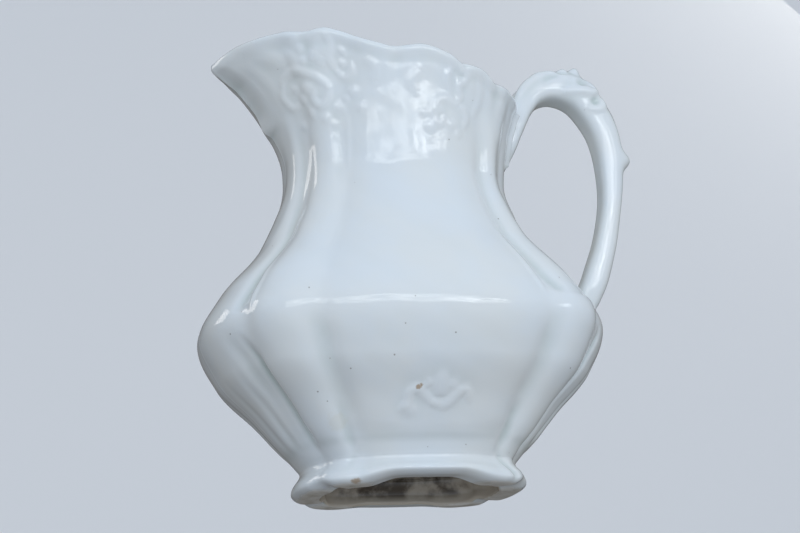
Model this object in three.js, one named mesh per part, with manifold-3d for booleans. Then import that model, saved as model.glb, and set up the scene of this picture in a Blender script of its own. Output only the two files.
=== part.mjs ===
// Small cream jug of glazed white china: a lobed eight-panelled body on a low
// spreading foot, with a pouring lip towards -X and a leaf-topped loop handle
// towards +X. Millimetres, +Z up. Every piece of clay that was joined to make
// the jug is its own closed body.
import * as THREE from 'three';
import { mergeVertices } from 'three/addons/utils/BufferGeometryUtils.js';
import Module from 'manifold-3d';

const wasm = await Module();
wasm.setup();
const deg = Math.PI / 180;

// Driving dimensions
const BODY_HEIGHT = 112;        // foot to the middle of the rim
const BELLY_REACH = 53.4;       // jug axis to the end of the belly
const WALL = 3.2;               // body wall, square to its surface
const RIM_WALL = 2.6;           // thickness of the rim
const SEAM = 0.3;               // gap left at every luted joint
// Creases between panels, as angles from the nearer end of the jug: first the narrow
// end panel gives way to the corner panel, then the corner panel to the broad one
const SPOUT_CREASES = [30 * deg, 52 * deg];
const HANDLE_CREASES = [27 * deg, 48 * deg];
const SPOUT_REACH = 13;         // how far the lip is drawn out beyond the rim
const SPOUT_SPREAD = 62 * deg;  // half angle taken up by the spout
const FOOT_TOP = 7;             // height of the foot ring
const ARCH_MEAN = 1.4;          // rise of the foot's edge between its corners
const ARCH_WARP = 0.5;          // the front edge rises this much more, the back this much less
const NOTCH = 0.8;              // nick in the foot's edge at each end crease
const SHOULDER_DIP = 1.5;       // how much flatter the shoulder is under the handle
const FLOOR_TOP = 11;           // height of the inside floor
const WAIST_WALL = 4.5;         // body wall at the waist, around the base disc
const LAND_INNER = 6.2;         // inset of the inner edge of the standing ring
const LAND_OUTER = 2.2;         // inset of its outer edge
const HANDLE_GAP = 1.2;         // room for the slip joint between handle and body

const AROUND = 80;              // steps around the body
const AXIS = Infinity;          // inset of a profile point that lies on the jug's axis
const GLAZE = { color: 0xe9edea, roughness: 0.12, metalness: 0 };
const SLIP = { color: 0xe2e7e3, roughness: 0.15, metalness: 0 };

// Smooth curve through a few stations, without overshoot
function curve(stations, x) {
  const last = stations.length - 1;
  const at = Math.min(Math.max(x, stations[0][0]), stations[last][0]);
  const slope = stations.slice(1).map((s, i) => (s[1] - stations[i][1]) / (s[0] - stations[i][0]));
  const tangent = stations.map((s, i) => {
    if (i === 0) return slope[0];
    if (i === last) return slope[last - 1];
    if (slope[i - 1] * slope[i] <= 0) return 0;
    return 2 * slope[i - 1] * slope[i] / (slope[i - 1] + slope[i]);
  });
  let k = 0;
  while (k < last - 1 && at > stations[k + 1][0]) k += 1;
  const h = stations[k + 1][0] - stations[k][0];
  const t = (at - stations[k][0]) / h;
  const a = (1 + 2 * t) * (1 - t) * (1 - t) * stations[k][1] + t * (1 - t) * (1 - t) * h * tangent[k];
  const b = t * t * (3 - 2 * t) * stations[k + 1][1] - t * t * (1 - t) * h * tangent[k + 1];
  return a + b;
}

function ease(t) {
  const u = Math.min(Math.max(t, 0), 1);
  return u * u * (3 - 2 * u);
}

// Profile of the jug: [share of the height, share of the belly reach, depth over length]
const PROFILE = [
  [0.000, 0.545, 0.86],   // underside of the foot
  [0.027, 0.562, 0.86],   // rolled edge of the foot
  [0.063, 0.512, 0.86],   // waist
  [0.107, 0.608, 0.84],
  [0.180, 0.742, 0.81],
  [0.270, 0.915, 0.79],
  [0.370, 1.000, 0.785],  // belly
  [0.465, 0.900, 0.80],
  [0.590, 0.685, 0.86],
  [0.750, 0.565, 0.885],  // neck
  [0.890, 0.600, 0.87],
  [1.000, 0.663, 0.85],   // rim
];
const reachStations = PROFILE.map((p) => [p[0] * BODY_HEIGHT, p[1] * BELLY_REACH]);
const depthStations = PROFILE.map((p) => [p[0] * BODY_HEIGHT, p[2]]);
// How square the plan is, and how deep the creases between panels are
const squareStations = [[0, 2.6], [48, 2.6], [74, 2.2], [BODY_HEIGHT, 2.2]];
const creaseStations = [[0, 0.03], [14, 0.05], [40, 0.045], [66, 0.055], [90, 0.045], [BODY_HEIGHT, 0.012]];
// Scalloped rim: [degrees from the handle, height]
const RIM = [
  [0, 106.2], [30, 106.8], [41, 107.0], [52, 109.8], [62, 110.2], [70, 112.3], [84, 114.2], [98, 113.4],
  [108, 114.7], [117, 116.5], [126, 118.7], [132, 119.7], [139, 119.2], [150, 120.2], [165, 120.1], [180, 118.6],
];

// Angle from the handle, the same on both sides of the jug
function angleFromHandle(angle) {
  return Math.acos(Math.min(Math.max(Math.cos(angle), -1), 1));
}

// Angle folded to 0..90 degrees from the nearer end of the long axis
function fold(angle) {
  const a = angleFromHandle(angle);
  return a > Math.PI / 2 ? Math.PI - a : a;
}

function creases(angle) {
  return Math.cos(angle) < 0 ? SPOUT_CREASES : HANDLE_CREASES;
}

// 0 on a crease, 1 in the middle of a panel
function panelSwell(angle) {
  const a = fold(angle);
  const [endCrease, broadCrease] = creases(angle);
  const edges = [-endCrease, endCrease, broadCrease, Math.PI - broadCrease];
  const k = a < endCrease ? 0 : a < broadCrease ? 1 : 2;
  const middle = (edges[k] + edges[k + 1]) / 2;
  const half = (edges[k + 1] - edges[k]) / 2;
  return 1 - Math.abs((a - middle) / half) ** 2.2;
}

// Distance from the jug axis to the outside of the wall
function reach(angle, level) {
  const end = curve(reachStations, level);
  const front = end * curve(depthStations, level);
  const n = curve(squareStations, level);
  const plan = (Math.abs(Math.cos(angle) / end) ** n + Math.abs(Math.sin(angle) / front) ** n) ** (-1 / n);
  const swell = 1 - curve(creaseStations, level) * (1 - panelSwell(angle));
  const fromHandle = angleFromHandle(angle);
  const across = Math.max(1 - (Math.PI - fromHandle) / SPOUT_SPREAD, 0) ** 1.6;
  const up = ease((level - 86) / (BODY_HEIGHT - 86));
  const underHandle = ease((40 * deg - fromHandle) / (16 * deg));
  const dip = SHOULDER_DIP * ease((level - 46) / 9) * ease((76 - level) / 12) * underHandle;
  return plan * swell + SPOUT_REACH * up * across - dip;
}

// Height of a level once the scalloped rim and the arched foot are added
function height(angle, level) {
  const lift = (curve(RIM, angleFromHandle(angle) / deg) - BODY_HEIGHT) * ease((level - 70) / (BODY_HEIGHT - 70));
  const a = fold(angle);
  const arch = (ARCH_MEAN - ARCH_WARP * Math.sin(angle)) * ease((a - 48 * deg) / (24 * deg));
  const notch = NOTCH * Math.max(1 - ((a - creases(angle)[0]) / (10 * deg)) ** 2, 0) ** 2;
  return level + lift + (arch + notch) * ease((FOOT_TOP - level) / FOOT_TOP);
}

// Wall thickness along the radius, so that it stays even on the slopes
function wallInset(level) {
  const slope = (curve(reachStations, level + 1) - curve(reachStations, level - 1)) / 2;
  const thickness = WALL + (RIM_WALL - WALL) * ease((level - 80) / (BODY_HEIGHT - 80));
  return thickness * Math.min(Math.sqrt(1 + slope * slope), 1.6);
}

// Radius of the plain round jug at a level, which the plan then stretches and lobes
function roundRadius(level) {
  return curve(reachStations, level);
}

// A closed three.js geometry as a solid, with its faces turned outwards
function solidFromGeometry(geometry) {
  geometry.deleteAttribute('normal');
  geometry.deleteAttribute('uv');
  const merged = mergeVertices(geometry, 1e-5);
  const index = Array.from(merged.index.array);
  const triangles = [];
  for (let t = 0; t < index.length; t += 3) {
    const [a, b, c] = index.slice(t, t + 3);
    if (a !== b && b !== c && a !== c) triangles.push(a, b, c);
  }
  const build = (order) => new wasm.Manifold(new wasm.Mesh({
    numProp: 3,
    vertProperties: new Float32Array(merged.attributes.position.array),
    triVerts: new Uint32Array(order),
  }));
  const solid = build(triangles);
  if (solid.volume() > 0) return solid;
  for (let t = 0; t < triangles.length; t += 3) {
    [triangles[t + 1], triangles[t + 2]] = [triangles[t + 2], triangles[t + 1]];
  }
  return build(triangles);
}

// Turn a profile of [level, inset] into a round solid, then press it into the lobed plan
function turned(profile) {
  const outline = profile.map(([level, inset]) => (
    new THREE.Vector2(inset === AXIS ? 0 : roundRadius(level) - inset, level)
  ));
  const geometry = new THREE.LatheGeometry(outline, AROUND, Math.PI / AROUND);
  const at = geometry.attributes.position;
  for (let i = 0; i < at.count; i += 1) {
    const radius = Math.hypot(at.getX(i), at.getZ(i));
    const level = at.getY(i);
    const angle = Math.atan2(at.getZ(i), at.getX(i));
    const r = radius < 0.01 ? 0 : radius + reach(angle, level) - roundRadius(level);
    at.setXYZ(i, r * Math.cos(angle), r * Math.sin(angle), r === 0 ? level : height(angle, level));
  }
  return solidFromGeometry(geometry);
}

function levels(low, high, steps) {
  return Array.from({ length: steps + 1 }, (_, i) => low + (high - low) * i / steps);
}

// Hollow body wall, from the top of the foot to the scalloped rim
const bodyFoot = FOOT_TOP + SEAM;
const rimEdge = BODY_HEIGHT - 0.9;
const body = turned([
  ...levels(bodyFoot, rimEdge, 22).map((level) => [level, 0]),
  [BODY_HEIGHT, 0.7],
  [BODY_HEIGHT, RIM_WALL - 0.7],
  ...levels(rimEdge, FLOOR_TOP + 2, 15).map((level) => [level, wallInset(level)]),
  [FLOOR_TOP + SEAM, WAIST_WALL],
  [bodyFoot, WAIST_WALL],
  [bodyFoot, 0],
]);

// The two pressed halves meet along the mould seam through spout and handle
const frontHalf = body.trimByPlane([0, -1, 0], SEAM / 2);
const backHalf = body.trimByPlane([0, 1, 0], SEAM / 2);

// Disc that closes the bottom of the body
const discEdge = WAIST_WALL + SEAM;
const disc = turned([[bodyFoot, AXIS], [bodyFoot, discEdge], [FLOOR_TOP, discEdge], [FLOOR_TOP, AXIS]]);

// Foot ring with a rolled outer edge and a flat standing face
const foot = turned([
  [FOOT_TOP, 0],
  [5, 0],
  [3, 0],
  [1.4, 0.1],
  [0.4, 0.9],
  [0, LAND_OUTER],
  [0, LAND_INNER],
  [0.5, LAND_INNER + 0.5],
  [3.5, LAND_INNER + 0.7],
  [FOOT_TOP, LAND_INNER + 0.4],
  [FOOT_TOP, 0],
]);

// Outside of the jug as a plain solid, grown outwards, to fit the handle against
function bodyGrownBy(grow) {
  const low = bodyFoot + 4;
  const high = BODY_HEIGHT + grow;
  return turned([[low, AXIS], ...levels(low, high, 30).map((level) => [level, -grow]), [high, AXIS]]);
}

// Handle: [x, z, half thickness, half width] along its centre line, top joint to leaf tail
const HANDLE = [
  [30.2, 90.5, 2.0, 4.0],
  [31.8, 95.5, 3.2, 6.2],
  [34.0, 101.5, 3.9, 6.2],
  [36.8, 107.5, 4.2, 5.8],
  [40.8, 112.3, 4.5, 5.4],
  [47.0, 114.2, 4.9, 5.2],
  [54.0, 112.0, 5.2, 5.3],
  [58.8, 105.5, 4.8, 5.0],
  [61.2, 98.8, 4.4, 4.7],
  [61.9, 90.0, 3.8, 4.4],
  [61.0, 79.5, 3.2, 4.2],
  [58.6, 69.0, 3.4, 4.3],
  [55.4, 59.8, 3.7, 4.6],
  [52.6, 53.5, 3.5, 4.4],
  [51.8, 49.5, 2.6, 3.6],
  [53.0, 44.8, 2.6, 3.2],
  [52.2, 38.5, 1.2, 1.6],
];
const HANDLE_STEPS = 4 * (HANDLE.length - 1);
const HANDLE_SIDES = 14;
const SPUR = { height: 93, length: 2.2, size: 2.4 };   // small thorn on the back of the handle

const handlePoints = HANDLE.map(([x, z]) => new THREE.Vector3(x, 0, z));
const handleLine = new THREE.CatmullRomCurve3(handlePoints, false, 'centripetal');
const handleThick = HANDLE.map((p, i) => [i / (HANDLE.length - 1), p[2]]);
const handleWide = HANDLE.map((p, i) => [i / (HANDLE.length - 1), p[3]]);

// A round rod bent along part of the handle's line and given its oval section
function handleRod(from, to, grow, steps) {
  const geometry = new THREE.CylinderGeometry(1, 1, 1, HANDLE_SIDES, steps);
  const at = geometry.attributes.position;
  for (let i = 0; i < at.count; i += 1) {
    const share = from + (to - from) * (at.getY(i) + 0.5);
    const centre = handleLine.getPoint(share);
    const along = handleLine.getTangent(share);
    const fromSpur = (centre.z - SPUR.height) / SPUR.length;
    const spur = centre.x > 57 && at.getX(i) > 0 ? SPUR.size * Math.exp(-(fromSpur ** 2)) : 0;
    const out = (curve(handleThick, share) + grow + spur) * at.getX(i);
    const side = (curve(handleWide, share) + grow) * at.getZ(i);
    at.setXYZ(i, centre.x - out * along.z, side, centre.z + out * along.x);
  }
  return solidFromGeometry(geometry);
}

function largestPiece(solid) {
  return solid.decompose().sort((a, b) => b.volume() - a.volume())[0];
}

const handle = largestPiece(handleRod(0, 1, 0, HANDLE_STEPS).subtract(bodyGrownBy(HANDLE_GAP)));

// Slip that bonds each end of the handle to the body
const slipSkin = bodyGrownBy(HANDLE_GAP - SEAM).subtract(bodyGrownBy(SEAM));
const upperLute = largestPiece(handleRod(0, 0.2, 0.5, 10).intersect(slipSkin));
const lowerLute = largestPiece(handleRod(0.74, 0.96, 0.3, 12).intersect(slipSkin));

function meshFromSolid(name, solid, look) {
  const data = solid.getMesh();
  const geometry = new THREE.BufferGeometry();
  geometry.setAttribute('position', new THREE.BufferAttribute(Float32Array.from(data.vertProperties), 3));
  geometry.setIndex(new THREE.BufferAttribute(Uint32Array.from(data.triVerts), 1));
  geometry.computeVertexNormals();
  const mesh = new THREE.Mesh(geometry, new THREE.MeshStandardMaterial(look));
  mesh.name = name;
  return mesh;
}

const jug = new THREE.Group();
jug.name = 'cream_jug';
jug.add(meshFromSolid('front_body_half', frontHalf, GLAZE));
jug.add(meshFromSolid('back_body_half', backHalf, GLAZE));
jug.add(meshFromSolid('base_disc', disc, GLAZE));
jug.add(meshFromSolid('foot_ring', foot, GLAZE));
jug.add(meshFromSolid('handle', handle, GLAZE));
jug.add(meshFromSolid('upper_handle_lute', upperLute, SLIP));
jug.add(meshFromSolid('lower_handle_lute', lowerLute, SLIP));

// The origin is under the middle of the jug's length, on the standing face
const box = new THREE.Box3().setFromObject(jug);
const shift = -(box.min.x + box.max.x) / 2;
const shiftY = -(box.min.y + box.max.y) / 2;
for (const piece of jug.children) piece.geometry.translate(shift, shiftY, -box.min.z);

export default jug;
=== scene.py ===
"""Looks of the small white china cream jug.

The fine meshes are worked out from the same profile, plan and handle line as the CAD
solids, in millimetres about the jug's own axis, with the moulded relief raised on them.
"""

from math import cos, pi, radians, sin

import bpy
import numpy as np
from mathutils import Matrix, Vector


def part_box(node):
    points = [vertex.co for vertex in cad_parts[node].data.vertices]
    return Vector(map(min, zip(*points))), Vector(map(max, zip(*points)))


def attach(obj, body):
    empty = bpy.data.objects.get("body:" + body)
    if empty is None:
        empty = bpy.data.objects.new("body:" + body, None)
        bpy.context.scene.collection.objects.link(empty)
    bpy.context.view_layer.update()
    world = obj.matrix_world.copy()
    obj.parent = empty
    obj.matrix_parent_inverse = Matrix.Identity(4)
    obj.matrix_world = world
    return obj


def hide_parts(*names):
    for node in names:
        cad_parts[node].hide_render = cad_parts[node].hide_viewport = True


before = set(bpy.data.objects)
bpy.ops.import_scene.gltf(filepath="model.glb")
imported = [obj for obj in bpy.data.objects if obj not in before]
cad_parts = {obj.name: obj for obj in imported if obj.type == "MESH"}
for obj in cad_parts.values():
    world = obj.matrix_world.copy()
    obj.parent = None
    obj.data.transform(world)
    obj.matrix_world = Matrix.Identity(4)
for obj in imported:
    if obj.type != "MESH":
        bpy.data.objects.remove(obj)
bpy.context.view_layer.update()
foot_low, foot_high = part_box("foot_ring")

MM = 0.001
# Where the jug's own axis stands in the frame, in millimetres
AXIS_X = (foot_low.x + foot_high.x) / 2 / MM

# Driving dimensions, as in the CAD
BODY_HEIGHT = 112.0
BELLY_REACH = 53.4
WALL = 3.2
RIM_WALL = 2.6
SPOUT_CREASES = (30.0, 52.0)
HANDLE_CREASES = (27.0, 48.0)
SPOUT_REACH = 13.0
SPOUT_SPREAD = 62.0
SPOUT_FROM = 86.0
RIM_FROM = 70.0
FOOT_TOP = 7.0
ARCH_MEAN = 1.4
ARCH_WARP = 0.5
NOTCH = 0.8
SHOULDER_DIP = 1.5
CREASE_SOFT = 2.0
FLOOR_TOP = 11.0
DISC_INSET = 4.65
FILLET_TOP = 20.0
LUTE_LEVEL = 7.15
HAIRLINE = 0.3
FLOOR_DISH = 0.35
RECESS_DISH = 0.5

# Fineness of the body mesh: columns round it, and rows in its low, middle and high stretches
COLUMNS = 720
HALF = COLUMNS // 2
STRETCHES = ((LUTE_LEVEL, 22, 50), (22, 84, 110), (84, BODY_HEIGHT - RIM_WALL / 2, 92))
# Fineness of the handle: points round it, and rows to each stretch between its stations
HANDLE_ROUND = 96
HANDLE_STEPS = 28
# Fineness of the slip: rows up it, and columns across it
LUTE_ROWS, LUTE_COLUMNS = 150, 110

# Profile: share of the height, share of the belly reach, depth over length
PROFILE = [
    (0.000, 0.545, 0.86),
    (0.027, 0.562, 0.86),
    (0.063, 0.512, 0.86),
    (0.107, 0.608, 0.84),
    (0.180, 0.742, 0.81),
    (0.270, 0.915, 0.79),
    (0.370, 1.000, 0.785),
    (0.465, 0.900, 0.80),
    (0.590, 0.685, 0.86),
    (0.750, 0.565, 0.885),
    (0.890, 0.600, 0.87),
    (1.000, 0.663, 0.85),
]
REACH = [(h * BODY_HEIGHT, r * BELLY_REACH) for h, r, _ in PROFILE]
DEPTH = [(h * BODY_HEIGHT, d) for h, _, d in PROFILE]
SQUARE = [(0, 2.6), (48, 2.6), (74, 2.2), (BODY_HEIGHT, 2.2)]
CREASE = [(0, 0.03), (14, 0.05), (40, 0.045), (66, 0.055), (90, 0.045), (BODY_HEIGHT, 0.012)]
# Scalloped rim: degrees from the handle, height
RIM = [
    (0, 106.2), (30, 106.8), (41, 107.0), (52, 109.8), (62, 110.2), (70, 112.3),
    (84, 114.2), (98, 113.4), (108, 114.7), (117, 116.5), (126, 118.7), (132, 119.7),
    (139, 119.2), (150, 120.2), (165, 120.1), (180, 118.6),
]

# Section of the foot, from its top down the outside and up the inside: level, depth from the outside
FOOT_SECTION = [
    (LUTE_LEVEL, 0), (6.4, 0.12), (5.6, 0.3), (4.8, 0.42), (4.0, 0.4), (3.2, 0.2), (2.5, -0.1),
    (1.9, -0.35), (1.4, -0.4), (0.9, -0.15), (0.5, 0.35), (0.2, 1.0), (0.04, 1.8), (0, 2.6),
    (0, 3.8), (0, 5.2), (0.15, 5.9), (0.6, 6.4), (1.3, 6.7), (3.0, 6.95), (5.0, 6.9),
    (FOOT_TOP + 0.35, 6.6),
]
# Depth in the section past which the foot is not moulded, and where its inner wall begins
MOULDED_TO, INNER_WALL = 3, 5.2

# Upright flutes: end, [(level, degrees from that end)], half width, [(level, height)]
SPOUT, HANDLE_END = "spout", "handle"
FLUTES = [
    (SPOUT, [(10, 28), (30, 29), (38, 26)], 1.5, [(9, 0), (14, -0.9), (27, -1.1), (38, 0)]),
    (SPOUT, [(10, 24), (30, 25), (38, 22)], 3.2, [(9, 0), (14, -0.8), (26, -1.2), (40, 0)]),
    (SPOUT, [(12, 17), (30, 19)], 1.6, [(10, 0), (14, -0.5), (22, -0.4), (32, 0)]),
    (SPOUT, [(12, 8), (30, 8)], 1.8, [(10, 0), (15, -0.25), (22, -0.2), (30, 0)]),
    (SPOUT, [(76, 0), (100, 0)], 6.0, [(74, 0), (86, -0.9), (95, -0.9), (101, 0)]),
    (
        SPOUT,
        [(44, 27), (57, 28), (70, 25.5), (88, 24)],
        2.0,
        [(42, 0), (47, -0.9), (62, -0.7), (86, -0.4), (95, 0)],
    ),
    (SPOUT, [(12, 52), (44, 52)], 3.2, [(10, 0), (18, -0.7), (32, -0.8), (43, 0)]),
    (HANDLE_END, [(12, 48), (44, 48)], 3.2, [(10, 0), (18, -0.7), (32, -0.8), (43, 0)]),
    (SPOUT, [(44, 32), (57, 32), (70, 31)], 0.9, [(42, 0), (46, 0.4), (60, 0.2), (72, 0)]),
    (SPOUT, [(62, 17), (94, 19.6)], 2.2, [(58, 0), (80, 0.25), (90, 0.25), (95, 0)]),
    (SPOUT, [(80, 53), (92, 54)], 0.9, [(78, 0), (85, 0.16), (90, 0.16), (94, 0)]),
    (SPOUT, [(76, 49), (92, 48)], 1.3, [(74, 0), (85, -0.2), (90, -0.2), (94, 0)]),
    (HANDLE_END, [(12, 26), (20, 28), (29, 26), (38, 23)], 1.0, [(9, 0), (14, -1.1), (32, -1.3), (41, 0)]),
    (HANDLE_END, [(12, 17), (30, 15)], 1.3, [(11, 0), (15, -0.6), (24, -0.5), (34, 0)]),
    (
        HANDLE_END,
        [(46, 44.5), (52, 47), (60, 48), (90, 47.3)],
        1.8,
        [(45, 0), (49, -0.8), (60, -0.65), (86, -0.4), (95, 0)],
    ),
    (HANDLE_END, [(46, 50), (60, 53)], 0.9, [(44, 0), (48, 0.3), (56, 0.25), (66, 0)]),
    (HANDLE_END, [(78, 40.6), (96, 40.6)], 2.0, [(74, 0), (84, 0.3), (93, 0.3), (98, 0)]),
    (HANDLE_END, [(78, 33), (94, 32)], 1.8, [(74, 0), (86, -0.25), (92, -0.2), (98, 0)]),
    (HANDLE_END, [(2, 39), (6, 43), (10, 46.5), (16, 48)], 1.3, [(0, 0), (3, -0.8), (12, -0.7), (20, 0)]),
    (SPOUT, [(4, 46), (10, 49), (16, 50)], 1.3, [(3, 0), (7, -0.4), (12, -0.5), (20, 0)]),
]
# Ridges and grooves right round the body: level, half width, height
BANDS = [
    (8.0, 2.8, 0.6),
    (FOOT_TOP, 0.35, -0.04),
    (110.2, 1.2, 0.2),
    (107.6, 1.2, -0.1),
]
# Scoop under the spout: half width in degrees and depth at each level
SCOOP_WIDTH = [(91, 8), (95, 11), (99, 12), (102, 11), (107, 8), (110.5, 3.5)]
SCOOP_DEPTH = [(93, 0), (97, 0.3), (101, 1.3), (106, 1.4), (110.5, 0)]
# Swellings at the spout end, of the chin below the scoop and of the tip: height, half width in degrees
CHIN = (1.1, 8.0)
TIP = (1.1, 9.0)
# Rounded step at the top of the corner lobe below the handle: level, height
LOBE_TOP, LOBE_STEP = 47.0, 0.4
# Cove below the rounded ends of the lobes: level of its edge, how far that rises at a crease, depth
COVE_LEVEL, COVE_RISE, COVE_DEPTH = 14.0, 2.4, 0.32
SEAM_WIDTH, SEAM_HEIGHT = 0.4, 0.06
# Unevenness of hand pressing: depth of its broad waves and of its small ones
BROAD_WAVES, SMALL_WAVES = 0.07, 0.03
# The raised work is softened by use and by the glaze: share of its height, and how much wider
WORN, SPREAD = 0.47, 1.25
# Soft folds that run down from the nicks of the rim: degrees from the handle, half width, depth
RIM_FOLDS = [(41, 2.4, 0.7), (62, 2.0, 0.5), (98, 2.6, 0.5), (121, 3.5, 0.25), (140, 2.4, 0.6)]

# Raised scrollwork on both sides: [(degrees from the handle, level)], half width, height
SCROLLS = [
    ([(166, 108.5), (158, 107.2), (150.8, 104.0)], 1.9, 0.7),
    ([(149, 106.8), (146.4, 104.2), (147.6, 102.2)], 1.2, 0.5),
    ([(155.6, 100.6), (152, 102.0), (146, 102.4), (138.6, 101.0), (133, 98.2)], 1.0, 0.8),
    ([(133, 98.2), (134, 95.8), (138, 94.8), (141, 96.2), (140, 98.0)], 0.9, 0.7),
    ([(155.6, 100.6), (157.6, 98.0), (155, 95.6), (151, 95.4)], 0.9, 0.6),
    ([(143.4, 98.6)], 1.3, 0.7),
    ([(151.4, 99.4), (149.4, 98.2)], 0.9, 0.5),
    ([(148.4, 97.2), (146.2, 95.6)], 0.9, 0.5),
    ([(144.6, 94.4), (142.8, 92.6)], 0.9, 0.45),
    ([(139, 104.4), (136.4, 106.6)], 1.0, 0.5),
    ([(135.6, 102.8), (132.8, 104.6)], 1.0, 0.4),
    ([(131.5, 110.0), (129.5, 107.4), (131, 104.4), (129.0, 101.6)], 0.9, 0.6),
    ([(129.0, 101.6), (125, 100.6), (121.4, 102.0), (120.8, 104.2)], 0.9, 0.6),
    ([(126, 107.4), (123.6, 106.0)], 0.8, 0.5),
    ([(125.4, 103.6)], 0.9, 0.5),
    ([(142.4, 107.4)], 1.0, 0.6),
    ([(142.2, 104.6)], 1.0, 0.6),
    ([(121.4, 97.8)], 1.1, 0.6),
    ([(125.6, 95.8)], 0.8, 0.45),
    ([(118, 94.5)], 1.0, 0.45),
    ([(128.8, 93.8)], 1.2, 0.6),
    ([(136.2, 91.8)], 1.0, 0.5),
    ([(132.6, 90.4)], 0.8, 0.4),
    ([(151, 91.4)], 1.0, 0.5),
    ([(113, 107.0), (109, 104.5), (110, 101.5)], 1.2, 0.4),
    ([(63.4, 109.6), (60.2, 107.8), (63.6, 104.8), (62.2, 102.2)], 1.0, 0.8),
    ([(66.5, 108.4), (67.4, 105.2), (65.8, 102.6)], 0.9, -0.5),
    ([(69.4, 107.4), (70.4, 104.8), (68.8, 102.4)], 0.9, 0.45),
    (
        [(62.2, 102.2), (66, 99.6), (72, 99.4), (77.5, 97.2), (78.4, 94.2), (75, 92.6), (71.6, 94.4)],
        1.0,
        0.6,
    ),
    ([(75.2, 96.0)], 1.2, 0.5),
    ([(80.2, 91.2)], 1.2, 0.5),
    ([(83.6, 94.4)], 0.9, 0.4),
    ([(67.2, 93.4)], 1.2, 0.6),
    ([(63.6, 91.6)], 0.9, 0.45),
    ([(63.8, 99.4), (60.4, 98.8), (58.2, 96.6), (59.4, 94.2)], 0.9, 0.6),
    ([(52.6, 108.8), (50.6, 105.4), (51.0, 102.0), (53.2, 98.6)], 1.0, 0.6),
    ([(86, 105.0), (90, 102.2), (88, 99.4)], 1.2, 0.35),
    (
        [(104.5, 17.0), (101.5, 18.4), (99.8, 20.6), (96.6, 21.2), (94, 20.2), (91, 18.8), (88.8, 18.0)],
        1.1,
        0.85,
    ),
    ([(88.8, 18.0), (84.5, 17.8), (81.5, 18.8), (78.4, 20.6), (75.4, 21.0), (73, 19.2)], 1.1, 0.85),
    ([(86.6, 19.6), (86.8, 21.6), (86.8, 24.4)], 1.5, 1.0),
    ([(82.4, 21.4), (80.6, 23.0)], 1.1, 0.5),
    ([(91.6, 21.8), (93.2, 23.2)], 1.1, 0.5),
    ([(100.8, 16.8)], 1.4, 0.7),
    ([(160, 96), (161.6, 101.0), (166, 106), (172, 109.6)], 1.5, 0.3),
]

# Handle line: x, z, half thickness, half width at each station
HANDLE = [
    (30.2, 90.5, 2.0, 4.0),
    (31.8, 95.5, 3.2, 6.2),
    (34.0, 101.5, 3.9, 6.2),
    (36.8, 107.5, 4.2, 5.8),
    (40.8, 112.3, 4.5, 5.4),
    (47.0, 114.2, 4.9, 5.2),
    (54.0, 112.0, 5.2, 5.3),
    (58.8, 105.5, 4.8, 5.0),
    (61.2, 98.8, 4.4, 4.7),
    (61.9, 90.0, 3.8, 4.4),
    (61.0, 79.5, 3.2, 4.2),
    (58.6, 69.0, 3.4, 4.3),
    (55.4, 59.8, 3.7, 4.6),
    (52.6, 53.5, 3.5, 4.4),
    (51.8, 49.5, 2.6, 3.6),
    (53.0, 44.8, 2.6, 3.2),
    (52.2, 38.5, 1.2, 1.6),
]
# Section of the handle: squareness of its inner and outer side; share of half thickness inward
INNER_SQUARE, OUTER_SQUARE, INNER_DEPTH = 3.6, 2.4, 0.84
# Channel down its outer side: depth and width, as shares of the half thickness and half width
CHANNEL_DEPTH, CHANNEL_WIDTH = 0.62, 0.5
# Thorn on the outer side of its long run: height, half length, how far it stands out
THORN = (93.0, 2.2, 2.4)
# The long run is the part of the handle line beyond this x
LONG_RUN_FROM = 57
# How far the clay of the handle goes into the wall, and the height that its joints stay below
HANDLE_SUNK = 1.2
JOINTS_TOP = 106
# Leafwork on the handle, both sides: [(station, degrees round from the back)], half width, height
LEAVES = [
    ([(5.1, 0), (5.6, 0), (6.0, 0)], 2.6, 0.9),
    ([(5.64, 5)], 1.5, 1.9),
    ([(5.3, 26)], 1.2, 0.8),
    ([(6.0, 26), (6.3, 46), (6.2, 70), (5.8, 98), (5.4, 114)], 1.3, 0.8),
    ([(3.2, 52), (3.9, 50), (4.6, 46)], 1.3, 0.7),
    ([(5.95, 42), (5.8, 70)], 1.2, -0.7),
    ([(6.5, 62), (6.6, 90)], 1.3, -0.7),
    ([(6.6, 32), (6.85, 58), (6.8, 86), (6.6, 114)], 1.1, 0.5),
    ([(5.4, 32), (5.0, 55), (4.5, 78)], 1.2, -0.5),
    ([(6.5, 8), (7.1, 12), (7.7, 6)], 1.1, 0.3),
    ([(5.3, 58), (4.8, 42), (4.2, 32)], 1.1, 0.4),
]

# Slip round the ends of the handle: piece, CAD node, degrees to each side, lowest and highest level,
# how far its fillet spreads on the wall, and its height against the handle
LUTES = [
    ("upper_lute", "upper_handle_lute", 26, (84, 109.5), 2.2, 1.3),
    ("lower_lute", "lower_handle_lute", 12, (36, 60), 2.0, 1.2),
]
# How far the slip's edge lies below the wall's surface, and its underside below that surface
LUTE_EDGE, LUTE_UNDER = 0.12, 0.9


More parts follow.
